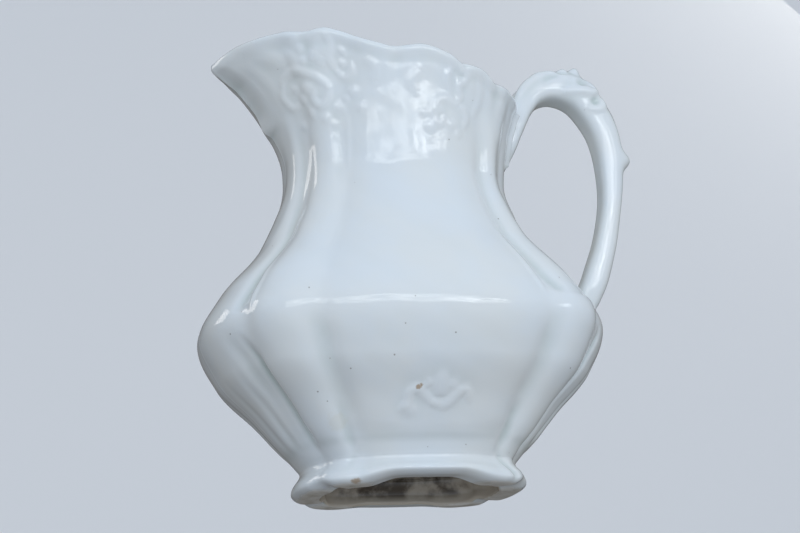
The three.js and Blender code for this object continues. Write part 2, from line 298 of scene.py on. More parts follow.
def curve(stations, at):
    """Smooth curve through a few stations, without overshoot."""
    x, y = np.array(stations, float).T
    slope = np.diff(y) / np.diff(x)
    tangent = np.concatenate([slope[:1], np.zeros(len(x) - 2), slope[-1:]])
    same = slope[:-1] * slope[1:] > 0
    tangent[1:-1][same] = 2 * (slope[:-1] * slope[1:])[same] / (slope[:-1] + slope[1:])[same]
    at = np.clip(at, x[0], x[-1])
    k = np.clip(np.searchsorted(x, at, side="right") - 1, 0, len(x) - 2)
    h = x[k + 1] - x[k]
    t = (at - x[k]) / h
    start = (1 + 2 * t) * (1 - t) ** 2 * y[k] + t * (1 - t) ** 2 * h * tangent[k]
    end = t * t * (3 - 2 * t) * y[k + 1] - t * t * (1 - t) * h * tangent[k + 1]
    return start + end


def through(points, steps):
    """Catmull-Rom curve through points, `steps` to each stretch."""
    p = np.array(points, float)
    p = np.concatenate([[2 * p[0] - p[1]], p, [2 * p[-1] - p[-2]]])
    t = np.linspace(0, 1, steps, endpoint=False)[:, None]
    runs = []
    for a, b, c, d in zip(p[:-3], p[1:-2], p[2:-1], p[3:]):
        bend = 2 * a - 5 * b + 4 * c - d
        twist = 3 * b - a - 3 * c + d
        runs.append(0.5 * (2 * b + (c - a) * t + bend * t**2 + twist * t**3))
    return np.concatenate(runs + [p[-2:-1]])


def ease(t):
    t = np.clip(t, 0, 1)
    return t * t * (3 - 2 * t)


def from_handle(angle):
    return np.degrees(np.arccos(np.clip(np.cos(angle), -1, 1)))


def fold(angle):
    """Degrees from the nearer end of the long axis."""
    a = from_handle(angle)
    return np.where(a > 90, 180 - a, a)


def creases(angle):
    spout_side = np.cos(angle) < 0
    return [np.where(spout_side, s, h) for s, h in zip(SPOUT_CREASES, HANDLE_CREASES)]


def sharp_swell(angle):
    """0 on a crease, 1 in the middle of a panel."""
    a = fold(angle)
    end, broad = creases(angle)
    low = np.select([a < end, a < broad], [-end, end], broad)
    high = np.select([a < end, a < broad], [end, broad], 180 - broad)
    return 1 - np.abs((2 * a - low - high) / (high - low)) ** 2.2


TABLE_STEP = 0.05
TABLE = np.arange(-20, 200, TABLE_STEP)
KERNEL = np.exp(-((np.arange(-8, 8, TABLE_STEP) / CREASE_SOFT) ** 2) / 2)
SWELL = np.convolve(sharp_swell(np.radians(TABLE)), KERNEL / KERNEL.sum(), mode="same")


def panel_swell(angle):
    """The same with the glaze rounding off the creases."""
    return np.interp(from_handle(angle), TABLE, SWELL)


def reach(angle, level):
    """Distance from the jug axis to the outside of the wall."""
    end = curve(REACH, level)
    front = end * curve(DEPTH, level)
    n = curve(SQUARE, level)
    plan = (np.abs(np.cos(angle) / end) ** n + np.abs(np.sin(angle) / front) ** n) ** (-1 / n)
    swell = 1 - curve(CREASE, level) * (1 - panel_swell(angle))
    across = np.maximum(1 - (180 - from_handle(angle)) / SPOUT_SPREAD, 0) ** 1.6
    by_handle = ease((40 - from_handle(angle)) / 16)
    dip = SHOULDER_DIP * ease((level - 46) / 9) * ease((76 - level) / 12) * by_handle
    spout = SPOUT_REACH * ease((level - SPOUT_FROM) / (BODY_HEIGHT - SPOUT_FROM)) * across
    return plan * swell + spout - dip


def rim_lift(angle, level):
    share = ease((level - RIM_FROM) / (BODY_HEIGHT - RIM_FROM))
    return (curve(RIM, from_handle(angle)) - BODY_HEIGHT) * share


def height(angle, level):
    """Height of a level once the scalloped rim and the arched foot are added."""
    a = fold(angle)
    arch = (ARCH_MEAN - ARCH_WARP * np.sin(angle)) * ease((a - 48) / 24)
    notch = NOTCH * np.maximum(1 - ((a - creases(angle)[0]) / 10) ** 2, 0) ** 2
    return level + rim_lift(angle, level) + (arch + notch) * ease((FOOT_TOP - level) / FOOT_TOP)


def wall_inset(level):
    slope = (curve(REACH, level + 1) - curve(REACH, level - 1)) / 2
    thickness = WALL + (RIM_WALL - WALL) * ease((level - 80) / (BODY_HEIGHT - 80))
    return thickness * np.minimum(np.sqrt(1 + slope**2), 1.6)


def ring_points(angle, radius, z):
    return np.stack([radius * np.cos(angle), radius * np.sin(angle), z + 0 * radius], -1)


def outside(angle, level):
    return ring_points(angle, reach(angle, level), height(angle, level))


def grid_normals(grid, wrap):
    """Unit normals of a grid of points, outward where rows climb and columns turn anticlockwise."""
    if wrap:
        across = np.roll(grid, -1, 1) - np.roll(grid, 1, 1)
    else:
        across = np.gradient(grid, axis=1)
    along = np.gradient(grid, axis=0)
    n = np.cross(across, along)
    return n / np.maximum(np.linalg.norm(n, axis=-1, keepdims=True), 1e-9)


def raise_along(points, spine, width, rise):
    """Height of a rounded ridge, tapered at its ends, at each of many points."""
    flat = points.reshape(-1, 3)
    near = np.all((flat > spine.min(0) - 3 * width) & (flat < spine.max(0) + 3 * width), axis=1)
    found = np.nonzero(near)[0]
    result = np.zeros(len(flat))
    if len(found):
        gap = np.linalg.norm(flat[found, None, :] - spine[None, :, :], axis=2)
        k = gap.argmin(1)
        taper = 1.0
        if len(spine) > 1:
            share = k / (len(spine) - 1)
            taper = 0.35 + 0.65 * np.sin(pi * np.clip(share, 0.0, 1.0)) ** 0.6
        wide = width * (0.6 + 0.4 * taper)
        result[found] = rise * taper * np.exp(-((gap[np.arange(len(found)), k] / wide) ** 2.4))
    return result.reshape(points.shape[:-1])


def body_spine(path):
    """A path of (degrees from the handle, level) laid on the front of the body."""
    path = np.array(path, float)
    if len(path) > 1:
        path = through(path, 12)
    return outside(-np.radians(path[:, 0]), path[:, 1])


def moulded_folds(angle, level):
    """Depth of the folds below the nicks of the rim."""
    a = from_handle(angle)
    r = reach(angle, level)
    total = 0 * r
    for degrees, width, depth in RIM_FOLDS:
        across = np.exp(-((np.radians(a - degrees) * r / width) ** 2))
        total += depth * ease((level - 97) / 12) * across
    return total


def swelling(shape, degrees):
    rise, half_width = shape
    return rise * np.exp(-((degrees / half_width) ** 2))


def flutes(angle, level):
    a = from_handle(angle)
    r = reach(angle, level)
    total = 0 * r
    for end, line, width, rise in FLUTES:
        degrees = a if end == HANDLE_END else 180 - a
        off = np.radians(degrees - curve(line, level)) * r
        total += curve(rise, level) * np.exp(-((off / width) ** 2))
    return total


def lobe_ends(angle, level):
    """Step at the top of the lobe below the handle, and the cove below the lobes."""
    a = from_handle(angle)
    corner_lobe = ease((a - HANDLE_CREASES[0]) / 4) * ease((46 - a) / 4)
    step = LOBE_STEP * ease((LOBE_TOP - level) / 1.8) * ease((level - 35) / 10) * corner_lobe
    edge = COVE_LEVEL + COVE_RISE * (1 - panel_swell(angle))
    return step - COVE_DEPTH * ease((edge - level) / 4.6) * ease((level - 8.4) / 2.6)


def spout_moulding(angle, level):
    """The fuller lip at the tip of the spout, the scoop under it, and the chin where that starts."""
    from_spout = 180 - from_handle(angle)
    tip = swelling(TIP, from_spout) * ease((level - 103.5) / 4) * ease((112.4 - level) / 3.6)
    scoop = curve(SCOOP_DEPTH, level) * ease(1.15 - from_spout / curve(SCOOP_WIDTH, level))
    chin = swelling(CHIN, from_spout) * ease((level - 93.0) / 1.8) * ease((98.4 - level) / 3.4)
    return tip - scoop + chin


def pressing(angle, level, points):
    """The mould seam and the slight unevenness of hand pressing."""
    seam = np.exp(-((np.radians(fold(angle)) * reach(angle, level) / SEAM_WIDTH) ** 2))
    x, y, z = (points[..., k] for k in range(3))
    broad = np.sin(x / 5.3 + 1.7 * np.sin(z / 9.1)) * np.sin(z / 6.7 + y / 8.3)
    small = np.sin(x / 2.1 + z / 3.3) * np.sin(z / 2.4 - y / 2.9)
    return SEAM_HEIGHT * seam * ease((level - 12) / 4) + BROAD_WAVES * broad + SMALL_WAVES * small


def scrollwork(points):
    """Raised scrolls and beads, the same on both sides."""
    x, y, z = (points[..., k] for k in range(3))
    folded = np.stack([x, -np.abs(y), z], -1)
    return sum(
        raise_along(folded, body_spine(path), SPREAD * width, WORN * rise)
        for path, width, rise in SCROLLS
    )


def moulded_relief(angle, level, points):
    """Everything raised on or sunk in the outside of the body, in millimetres."""
    relief = flutes(angle, level) + lobe_ends(angle, level)
    for at, width, rise in BANDS:
        relief += rise * np.exp(-(((level - at) / width) ** 2))
    relief += spout_moulding(angle, level) - moulded_folds(angle, level)
    return relief + pressing(angle, level, points) + scrollwork(points)


ANGLES = np.linspace(0, 2 * pi, COLUMNS, endpoint=False)


def body_skin():
    """Outside, rim and inside of the body as one strip of rings, and how hollow each point is."""
    low, middle, high = STRETCHES
    level = np.concatenate(
        [np.linspace(*low, endpoint=False), np.linspace(*middle, endpoint=False), np.linspace(*high)]
    )[:, None]
    angle = ANGLES[None, :]
    base = outside(angle, level + 0 * angle)
    relief = moulded_relief(angle + 0 * level, level + 0 * angle, base)
    shell = base + relief[..., None] * grid_normals(base, True)
    # the rolled rim
    turn = np.linspace(0, pi, 15)[1:-1, None]
    rim_centre = BODY_HEIGHT - RIM_WALL / 2
    rim_level = rim_centre + RIM_WALL / 2 * np.sin(turn)
    rim_inset = RIM_WALL / 2 * (1 - np.cos(turn))
    swell = relief[-1] * (1 - rim_inset / RIM_WALL)
    rim_radius = reach(angle, rim_centre + 0 * turn) - rim_inset + swell
    rim = ring_points(angle, rim_radius, rim_level + rim_lift(angle, rim_level))
    # down the inside, where the folds are felt faintly, and round to the floor
    down = np.linspace(rim_centre, FILLET_TOP, 70)[:, None]
    soft = 0.5 * moulded_folds(angle, down)
    inner_radius = reach(angle, down) - wall_inset(down) - soft
    inner = ring_points(angle, inner_radius, height(angle, down + 0 * angle))
    top = reach(angle, FILLET_TOP + 0 * angle) - wall_inset(FILLET_TOP)
    end = reach(angle, FOOT_TOP + 0 * angle) - DISC_INSET
    t = np.linspace(0, 1, 22)[1:, None]
    weights = [(1 - t) ** 3, 3 * t * (1 - t) ** 2, 3 * t * t * (1 - t), t**3]
    radius = sum(w * r for w, r in zip(weights, [top, 0.87 * top, 1.14 * end, end]))
    z = sum(w * h for w, h in zip(weights, [FILLET_TOP, 14.5, FLOOR_TOP, FLOOR_TOP]))
    fillet = ring_points(angle, radius, z + 0 * angle)
    plain = np.zeros((len(turn) + len(down) + len(t), COLUMNS))
    pool_and_recess_shade = np.concatenate([hollowness(relief), plain])
    return np.concatenate([shell, rim, inner, fillet]), pool_and_recess_shade


def blur(field, times):
    for _ in range(times):
        field = (np.roll(field, 1, 1) + 2 * field + np.roll(field, -1, 1)) / 4
        field[1:-1] = (field[:-2] + 2 * field[1:-1] + field[2:]) / 4
    return field


def hollowness(relief):
    """How far each point lies below its surroundings: glaze gathers there."""
    return np.clip((blur(relief.copy(), 40) - blur(relief.copy(), 2)) / 0.5, 0, 1)


def mesh_object(name, points, quads, extra_faces=(), normals=None, pool_and_recess_shade=None):
    """A mesh object in metres about the jug axis; quads are smooth, extra faces are flat."""
    mesh = bpy.data.meshes.new(name)
    faces = [tuple(q) for q in np.asarray(quads).tolist()] + [tuple(f) for f in extra_faces]
    shifted = (np.asarray(points, float) + [AXIS_X, 0, 0]) * MM
    mesh.from_pydata(shifted.tolist(), [], faces)
    smooth = np.zeros(len(faces), bool)
    smooth[: len(quads)] = True
    mesh.polygons.foreach_set("use_smooth", smooth)
    if pool_and_recess_shade is not None:
        # Pool attribute: how thick the glaze lies, and on the foot where the recess shade is painted
        layer = mesh.attributes.new("pool_and_recess_shade", "FLOAT", "POINT")
        layer.data.foreach_set("value", np.asarray(pool_and_recess_shade, np.float32).ravel())
    if normals is not None:
        loops = np.zeros(len(mesh.loops), int)
        mesh.loops.foreach_get("vertex_index", loops)
        custom = np.asarray(normals)[loops]
        custom[len(quads) * 4:] = 0
        mesh.normals_split_custom_set(custom.tolist())
    mesh.update()
    obj = bpy.data.objects.new(name, mesh)
    bpy.context.scene.collection.objects.link(obj)
    return obj


def strip_quads(rows, columns, wrap):
    """Quads over a grid of rows and columns."""
    last = columns if wrap else columns - 1
    i = np.arange(rows - 1)[:, None] * columns
    j = np.arange(last)[None, :]
    k = (j + 1) % columns
    return np.stack([i + j, i + k, i + columns + k, i + columns + j], -1).reshape(-1, 4)


def body_half(name, skin, normals, pool_and_recess_shade, first):
    """Half of the body wall, closed along the mould seam and under its foot."""
    take = (first + np.arange(HALF + 1)) % COLUMNS
    rows, columns = len(skin), HALF + 1
    points = skin[:, take].reshape(-1, 3)
    under = skin[-1, take].copy()
    under[:, 2] = FOOT_TOP + HAIRLINE
    points = np.concatenate([points, under])
    quads = strip_quads(rows, columns, False)
    below = rows * columns + np.arange(columns)
    inner = (rows - 1) * columns + np.arange(columns)
    outer = np.arange(columns)
    flats = []
    for j in range(columns - 1):
        flats.append((inner[j], inner[j + 1], below[j + 1], below[j]))
        flats.append((below[j], below[j + 1], outer[j + 1], outer[j]))
    for j, turned in ((0, False), (columns - 1, True)):
        loop = [r * columns + j for r in range(rows)] + [int(below[j])]
        flats.append(loop if turned else loop[::-1])
    all_normals = np.concatenate([normals[:, take].reshape(-1, 3), np.zeros((columns, 3))])
    all_pool = np.concatenate([pool_and_recess_shade[:, take].ravel(), np.zeros(columns)])
    return mesh_object(name, points, quads, flats, all_normals, all_pool)


def make_body():
    skin, pool_and_recess_shade = body_skin()
    normals = grid_normals(skin, True)
    front = body_half("front_half", skin, normals, pool_and_recess_shade, HALF)
    back = body_half("back_half", skin, normals, pool_and_recess_shade, 0)
    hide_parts("front_body_half")
    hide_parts("back_body_half")
    return [front, back]


def make_base():
    """Inside floor and the recess under it."""
    edge = reach(ANGLES, FOOT_TOP + 0 * ANGLES) - DISC_INSET
    shares = np.concatenate([np.linspace(1, 0.1, 30), [0.03]])[:, None]
    rise = 1 - shares**2
    top = ring_points(ANGLES, shares * edge, FLOOR_TOP - FLOOR_DISH * rise + 0 * ANGLES)
    under_level = FOOT_TOP + HAIRLINE + RECESS_DISH * rise + 0 * ANGLES
    under = ring_points(ANGLES, shares * edge, under_level)
    grid = np.concatenate([under[::-1], top])
    quads = strip_quads(len(grid), COLUMNS, True)
    hub = [range(COLUMNS - 1, -1, -1), [(len(grid) - 1) * COLUMNS + j for j in range(COLUMNS)]]
    normals = grid_normals(grid, True).reshape(-1, 3)
    disc = mesh_object("base", grid.reshape(-1, 3), quads, hub, normals)
    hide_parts("base_disc")
    return disc


def make_foot():
    """Spreading foot with a rolled lip, standing on a narrow flat face."""
    line = through(FOOT_SECTION, 5)
    level, inset = np.maximum(line[:, :1], 0), line[:, 1:]
    angle = ANGLES[None, :]
    base = ring_points(angle, reach(angle, level) - inset, height(angle, level + 0 * angle))
    relief = moulded_relief(angle + 0 * level, level + 0 * angle, base) * (inset < MOULDED_TO)
    radial = np.stack([np.cos(angle), np.sin(angle), 0 * angle], -1)
    grid = (base + relief[..., None] * radial)[::-1]
    # Marks the inner wall of the foot in the pool attribute, where the recess shade is painted
    recess_shade_mask = 2.0 * ease((inset - INNER_WALL) / 0.8)
    pool_and_recess_shade = (hollowness(relief) * (inset < MOULDED_TO) + recess_shade_mask)[::-1]
    quads = strip_quads(len(grid), COLUMNS, True)
    rows = len(grid)
    lid = []
    for j in range(COLUMNS):
        k = (j + 1) % COLUMNS
        lid.append((j, k, (rows - 1) * COLUMNS + k, (rows - 1) * COLUMNS + j)[::-1])
    normals = grid_normals(grid, True).reshape(-1, 3)
    foot = mesh_object("foot", grid.reshape(-1, 3), quads, lid, normals, pool_and_recess_shade)
    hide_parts("foot_ring")
    return foot


def handle_frame(station):
    """Centre, direction of the back of the handle, half thickness and half width at a station."""
    line = through(HANDLE, HANDLE_STEPS)
    where = np.linspace(0, len(HANDLE) - 1, len(line))
    values = np.stack([np.interp(station, where, line[:, k]) for k in range(4)], -1)
    step = 0.05
    ahead = np.stack([np.interp(station + step, where, line[:, k]) for k in (0, 1)], -1)
    behind = np.stack([np.interp(station - step, where, line[:, k]) for k in (0, 1)], -1)
    along = ahead - behind
    along /= np.linalg.norm(along, axis=-1, keepdims=True)
    return values[..., :2], np.stack([-along[..., 1], along[..., 0]], -1), values[..., 2], values[..., 3]


def handle_points(station, turn):
    """Surface of the handle: station along it, turn round from its back."""
    centre, back, thick, wide = handle_frame(station)
    out, side = np.cos(turn), np.sin(turn)
    power = np.where(out < 0, INNER_SQUARE, OUTER_SQUARE)
    square = (np.abs(out) ** power + np.abs(side) ** power) ** (-1 / power)
    inner = np.where(out < 0, INNER_DEPTH, 1.0)
    channel = ease((station - 0.8) / 1.0) * ease((4.6 - station) / 1.2) * (out > 0)
    dished = 1 - CHANNEL_DEPTH * channel * np.exp(-((side / CHANNEL_WIDTH) ** 2))
    at, length, rise = THORN
    on_run = centre[..., 0] > LONG_RUN_FROM
    spur = np.where(on_run, np.exp(-(((centre[..., 1] - at) / length) ** 2)), 0)
    reach_out = thick * out * square * inner * dished + rise * spur * np.maximum(out, 0) ** 3
    reach_side = wide * side * square
    x = centre[..., 0] + back[..., 0] * reach_out
    z = centre[..., 1] + back[..., 1] * reach_out
    return np.stack([x, reach_side, z], -1)


def level_at(angle, z):
    level = z
    for _ in range(6):
        level = z - rim_lift(angle, level)
    return level


def gap_to_body(points):
    """How far points stand out from the body's plain outside, along the radius."""
    angle = np.arctan2(points[..., 1], points[..., 0])
    level = np.clip(level_at(angle, points[..., 2]), LUTE_LEVEL, BODY_HEIGHT)
    return np.hypot(points[..., 0], points[..., 1]) - reach(angle, level)


def make_handle():
    stations = np.linspace(0, len(HANDLE) - 1, HANDLE_STEPS * (len(HANDLE) - 1) + 1)[:, None]
    turn = np.linspace(0, 2 * pi, HANDLE_ROUND, endpoint=False)[None, :]
    station, turned = stations + 0 * turn, turn + 0 * stations
    base = handle_points(station, turned)
    normals = -grid_normals(base, True)
    folded = np.stack([base[..., 0], np.abs(base[..., 1]), base[..., 2]], -1)
    relief = np.zeros(base.shape[:2])
    for path, width, rise in LEAVES:
        path = np.array(path, float)
        if len(path) > 1:
            path = through(path, 12)
        relief += raise_along(folded, handle_points(path[:, 0], np.radians(path[:, 1])), width, rise)
    x, y, z = (base[..., k] for k in range(3))
    relief += 0.06 * np.sin(x / 3.1 + z / 4.7) * np.sin(z / 5.9 - y / 2.3)
    outward = normals * np.sign((normals * (base - base.mean(1, keepdims=True))).sum(-1, keepdims=True))
    grid = base + relief[..., None] * outward
    # inside the wall the clay goes no deeper than the slip that holds it
    too_deep = np.clip(-HANDLE_SUNK - gap_to_body(grid), 0, 8)
    grid[..., 0] += too_deep * (grid[..., 2] < JOINTS_TOP)
    rows = len(grid)
    quads = strip_quads(rows, HANDLE_ROUND, True)[:, ::-1]
    ends = [range(HANDLE_ROUND), [(rows - 1) * HANDLE_ROUND + j for j in range(HANDLE_ROUND)][::-1]]
    pool_and_recess_shade = hollowness(relief)
    handle = mesh_object("loop_handle", grid.reshape(-1, 3), quads, ends, None, pool_and_recess_shade)
    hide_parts("handle")
    return handle, grid


def make_lute(handle_grid, name, node, degrees, levels, spread, rise):
    """Slip round one end of the handle: a soft fillet on the body that dies away at `spread`."""
    rows, columns = LUTE_ROWS, LUTE_COLUMNS
    angle = np.radians(np.linspace(-degrees, degrees, columns))[None, :]
    level = np.linspace(*levels, rows)[:, None]
    base = outside(angle + 0 * level, level + 0 * angle)
    normals = grid_normals(base, False)
    relief = moulded_relief(angle + 0 * level, level + 0 * angle, base)
    near = handle_grid.reshape(-1, 3)
    gap = gap_to_body(near)
    near = near[(gap > -0.6) & (gap < 1.5) & (near[:, 2] > base[..., 2].min() - 3)]
    near = near[near[:, 2] < base[..., 2].max() + 3]
    flat = base.reshape(-1, 3)
    distance = np.empty(len(flat))
    for start in range(0, len(flat), 800):
        part = flat[start:start + 800]
        distance[start:start + 800] = np.linalg.norm(part[:, None] - near[None], axis=2).min(1)
    distance = np.maximum(distance.reshape(base.shape[:2]) - 0.5, 0)
    pad = rise * np.clip(1 - distance / spread, 0, 1) ** 2 - LUTE_EDGE
    top = base + (relief + pad)[..., None] * normals
    under = base - LUTE_UNDER * normals
    count = rows * columns
    quads = strip_quads(rows, columns, False)
    lower = quads[:, ::-1] + count
    ring = list(range(columns))
    ring += [r * columns + columns - 1 for r in range(1, rows)]
    ring += [(rows - 1) * columns + j for j in range(columns - 2, -1, -1)]
    ring += [r * columns for r in range(rows - 2, 0, -1)]
    walls = [(b, a, a + count, b + count) for a, b in zip(ring, ring[1:] + ring[:1])]
    points = np.concatenate([top.reshape(-1, 3), under.reshape(-1, 3)])
    lute = mesh_object(name, points, np.concatenate([quads, lower]), walls)
    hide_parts(node)
    return lute


# ---------------------------------------------------------------- materials


RANGE_SOCKETS = ("From Min", "From Max", "To Min", "To Max")


class Shader:
    """A node material made of plain links."""

    def __init__(self, name):
        self.material = bpy.data.materials.new(name)
        self.material.use_nodes = True
        self.tree = self.material.node_tree
        self.surface = self.tree.nodes["Principled BSDF"]
        self.place = self.node("ShaderNodeTexCoord").outputs["Object"]

    def node(self, kind, **settings):
        made = self.tree.nodes.new(kind)
        for key, value in settings.items():
            if key in made.inputs:
                made.inputs[key].default_value = value
            else:
                setattr(made, key, value)
        return made

    def link(self, source, target):
        self.tree.links.new(source, target)

    def noise(self, scale, detail=3.0, roughness=0.55):
        made = self.node("ShaderNodeTexNoise", Scale=scale, Detail=detail, Roughness=roughness)
        self.link(self.place, made.inputs["Vector"])
        return made.outputs["Fac"]

    def span(self, value, low, high, to_low, to_high, smooth=True):
        made = self.node("ShaderNodeMapRange")
        made.interpolation_type = "SMOOTHSTEP" if smooth else "LINEAR"
        self.link(value, made.inputs["Value"])
        for key, number in zip(RANGE_SOCKETS, (low, high, to_low, to_high)):
            made.inputs[key].default_value = number
        return made.outputs["Result"]

    def mix(self, factor, one, two):
        made = self.node("ShaderNodeMix")
        made.data_type = "RGBA"
        self.fill(made.inputs["Factor"], factor)
        self.fill(made.inputs[6], one)
        self.fill(made.inputs[7], two)
        return made.outputs[2]

    def math(self, operation, one, two=0.0):
        made = self.node("ShaderNodeMath")
        made.operation = operation
        self.fill(made.inputs[0], one)
        self.fill(made.inputs[1], two)
        return made.outputs[0]

    def fill(self, socket, value):
        if isinstance(value, bpy.types.NodeSocket):
            self.link(value, socket)
        elif isinstance(value, tuple) and len(value) == 3:
            socket.default_value = (*value, 1)
        else:
            socket.default_value = value

    def bump(self, height_field, distance, strength=1.0, below=None):
        made = self.node("ShaderNodeBump", Strength=strength, Distance=distance)
        self.link(height_field, made.inputs["Height"])
        if below is not None:
            self.link(below, made.inputs["Normal"])
        return made.outputs["Normal"]

    def spot(self, centre, radius, soft, wobble=0.0):
        """1 inside a small ball about a point in millimetres from the jug axis, 0 outside."""
        middle = self.node("ShaderNodeVectorMath")
        middle.operation = "DISTANCE"
        self.link(self.place, middle.inputs[0])
        middle.inputs[1].default_value = ((centre[0] + AXIS_X) * MM, centre[1] * MM, centre[2] * MM)
        distance = middle.outputs["Value"]
        if wobble:
            uneven = self.math("MULTIPLY", self.math("SUBTRACT", self.noise(900.0, 2.0), 0.5), wobble * MM)
            distance = self.math("ADD", distance, uneven)
        return self.span(distance, radius * MM, (radius + soft) * MM, 1.0, 0.0)


CHINA = (0.71, 0.75, 0.765)
CHINA_WARM = (0.73, 0.75, 0.735)
POOLED = (0.50, 0.57, 0.545)
SPECK = (0.16, 0.12, 0.09)
RUST = (0.36, 0.25, 0.15)
STAIN = (0.62, 0.58, 0.44)
BISCUIT = (0.62, 0.60, 0.55)
GRIME = (0.42, 0.38, 0.31)
# Painted shade: darker colour for the inside of the foot's recess and the underside of the floor
RECESS_SHADE = (0.53, 0.47, 0.38)
# Dark blotches of a generic mark on the underside, also used as painted shade deep in the foot's recess
DARK_MARK_AND_SHADE = (0.055, 0.04, 0.025)
# Marks: centre in millimetres from the jug axis, radius, soft edge, unevenness
CHIP_BALLS = [((-3.9, -33.3, 21.8), 0.4, 0.4, 1.2), ((-3.2, -33.3, 22.2), 0.3, 0.4, 1.2)]
STAIN_BALL = ((-22.5, -24.5, 14.8), 1.6, 1.6, 2.5)
RUST_BALL = ((-18.0, -22.0, 0.0), 0.9, 1.0, 1.5)


def pinholes(s):
    """Sparse small dots in the glaze, where it holds kiln dirt."""
    cells = s.node("ShaderNodeTexVoronoi", Scale=400.0, Randomness=1.0)
    s.link(s.place, cells.inputs["Vector"])
    draw = s.node("ShaderNodeSeparateColor")
    s.link(cells.outputs["Color"], draw.inputs["Color"])
    chosen = s.span(draw.outputs["Red"], 0.92, 0.921, 0.0, 1.0)
    size = s.span(draw.outputs["Green"], 0.0, 1.0, 0.05, 0.1, smooth=False)
    dot = s.math("LESS_THAN", cells.outputs["Distance"], size)
    return s.math("MULTIPLY", dot, chosen)


def china_colour(s, pool_and_recess_shade, pinhole):
    """White china, faintly cloudy, greener where the glaze lies thick, with its specks."""
    cloudy = s.span(s.noise(38.0, 4.0), 0.35, 0.68, 0.0, 1.0)
    colour = s.mix(cloudy, CHINA, CHINA_WARM)
    thick = s.math("MULTIPLY", pool_and_recess_shade, s.span(s.noise(150.0), 0.3, 0.7, 0.6, 0.95))
    colour = s.mix(thick, colour, POOLED)
    return s.mix(s.math("MULTIPLY", pinhole, 0.6), colour, SPECK)


def marked(s, colour):
    """Adds a pale stain and a long brown chip on the front."""
    colour = s.mix(s.math("MULTIPLY", s.spot(*STAIN_BALL), 0.22), colour, STAIN)
    one, other = [s.spot(*ball) for ball in CHIP_BALLS]
    return s.mix(s.math("MULTIPLY", s.math("MAXIMUM", one, other), 0.85), colour, RUST)


def mottling(s, along):
    """Blotches on the underside, strongest in its middle."""
    aside = s.math("ABSOLUTE", s.math("SUBTRACT", along, (AXIS_X + 1.5) * MM))
    central = s.span(aside, 0.014, 0.023, 1.0, 0.12)
    blotch = s.span(s.noise(150.0, 6.0), 0.36, 0.62, 0.35, 1.0)
    return s.math("MULTIPLY", blotch, central)


def recess_of_foot(s, colour, pool_and_recess_shade, along, up):
    """Inner wall of the foot with painted shade of the recess, darkest at its top, with dark blotches in
    its middle.
    """
    inside = s.span(pool_and_recess_shade, 1.1, 1.9, 0.0, 1.0)
    # Painted shade, darker up the inner wall and deeper into the recess, multiplied by the blotches
    deep_shade_and_blotch = s.math("MULTIPLY", s.span(up, 0.0010, 0.0042, 0.05, 1.0), mottling(s, along))
    return s.mix(inside, colour, s.mix(deep_shade_and_blotch, RECESS_SHADE, DARK_MARK_AND_SHADE))


def wiped_face(s, up):
    """How bare of glaze the face that the foot stands on is, and the worn clay that shows there."""
    uneven = s.math("MULTIPLY", s.math("SUBTRACT", s.noise(260.0, 4.0), 0.5), 0.0009)
    bare = s.span(s.math("ADD", up, uneven), 0.0001, 0.0007, 1.0, 0.0)
    worn = s.span(s.noise(260.0, 6.0), 0.4, 0.7, 0.0, 0.7)
    return bare, s.mix(worn, BISCUIT, GRIME)


def recess_of_base(s, colour, along, up):
    """Dark mottled underside of the floor: painted shade of the recess, with dark blotches of a generic
    mark in its middle.
    """
    under = s.span(up, 0.0090, 0.0080, 0.0, 1.0)
    # Painted shade over the whole underside of the floor
    colour = s.mix(under, colour, RECESS_SHADE)
    return s.mix(s.math("MULTIPLY", under, mottling(s, along)), colour, DARK_MARK_AND_SHADE)


def glaze_normal(s, pinhole):
    """Slow waves and a fine unevenness of the glaze, pitted by the pinholes."""
    normal = s.bump(s.noise(55.0, 2.0, 0.4), 0.00035, 0.5)
    normal = s.bump(s.noise(900.0, 2.0), 0.00001, 0.6, normal)
    return s.bump(s.math("MULTIPLY", pinhole, -1.0), 0.0001, 1.0, normal)


def glaze(name, foot=False, base=False):
    """Clear glaze over white china; the foot and the base have their own underside as well."""
    s = Shader(name)
    attribute = s.node("ShaderNodeAttribute")
    # Pool attribute: thick glaze, and on the foot the mask of the painted recess shade
    attribute.attribute_name = "pool_and_recess_shade"
    pool_and_recess_shade = attribute.outputs["Fac"]
    axes = s.node("ShaderNodeSeparateXYZ")
    s.link(s.place, axes.inputs[0])
    along, up = axes.outputs["X"], axes.outputs["Z"]
    pinhole = pinholes(s)
    colour = marked(s, china_colour(s, pool_and_recess_shade, pinhole))
    rough = s.span(s.noise(120.0, 5.0), 0.3, 0.75, 0.045, 0.11)
    rough = s.math("ADD", rough, s.math("MULTIPLY", pinhole, 0.4))
    if foot:
        colour = recess_of_foot(s, colour, pool_and_recess_shade, along, up)
        bare, clay = wiped_face(s, up)
        colour = s.mix(bare, colour, clay)
        rough = s.math("ADD", rough, s.math("MULTIPLY", bare, 0.45))
        colour = s.mix(s.math("MULTIPLY", s.spot(*RUST_BALL), 0.8), colour, RUST)
    if base:
        colour = recess_of_base(s, colour, along, up)
    s.link(colour, s.surface.inputs["Base Color"])
    s.link(rough, s.surface.inputs["Roughness"])
    s.surface.inputs["IOR"].default_value = 1.5
    s.surface.inputs["Subsurface Weight"].default_value = 0.12
    s.surface.inputs["Subsurface Radius"].default_value = (0.9, 1.0, 1.1)
    s.surface.inputs["Subsurface Scale"].default_value = 0.0012
    s.link(glaze_normal(s, pinhole), s.surface.inputs["Normal"])
    return s.material


# ---------------------------------------------------------------- stage


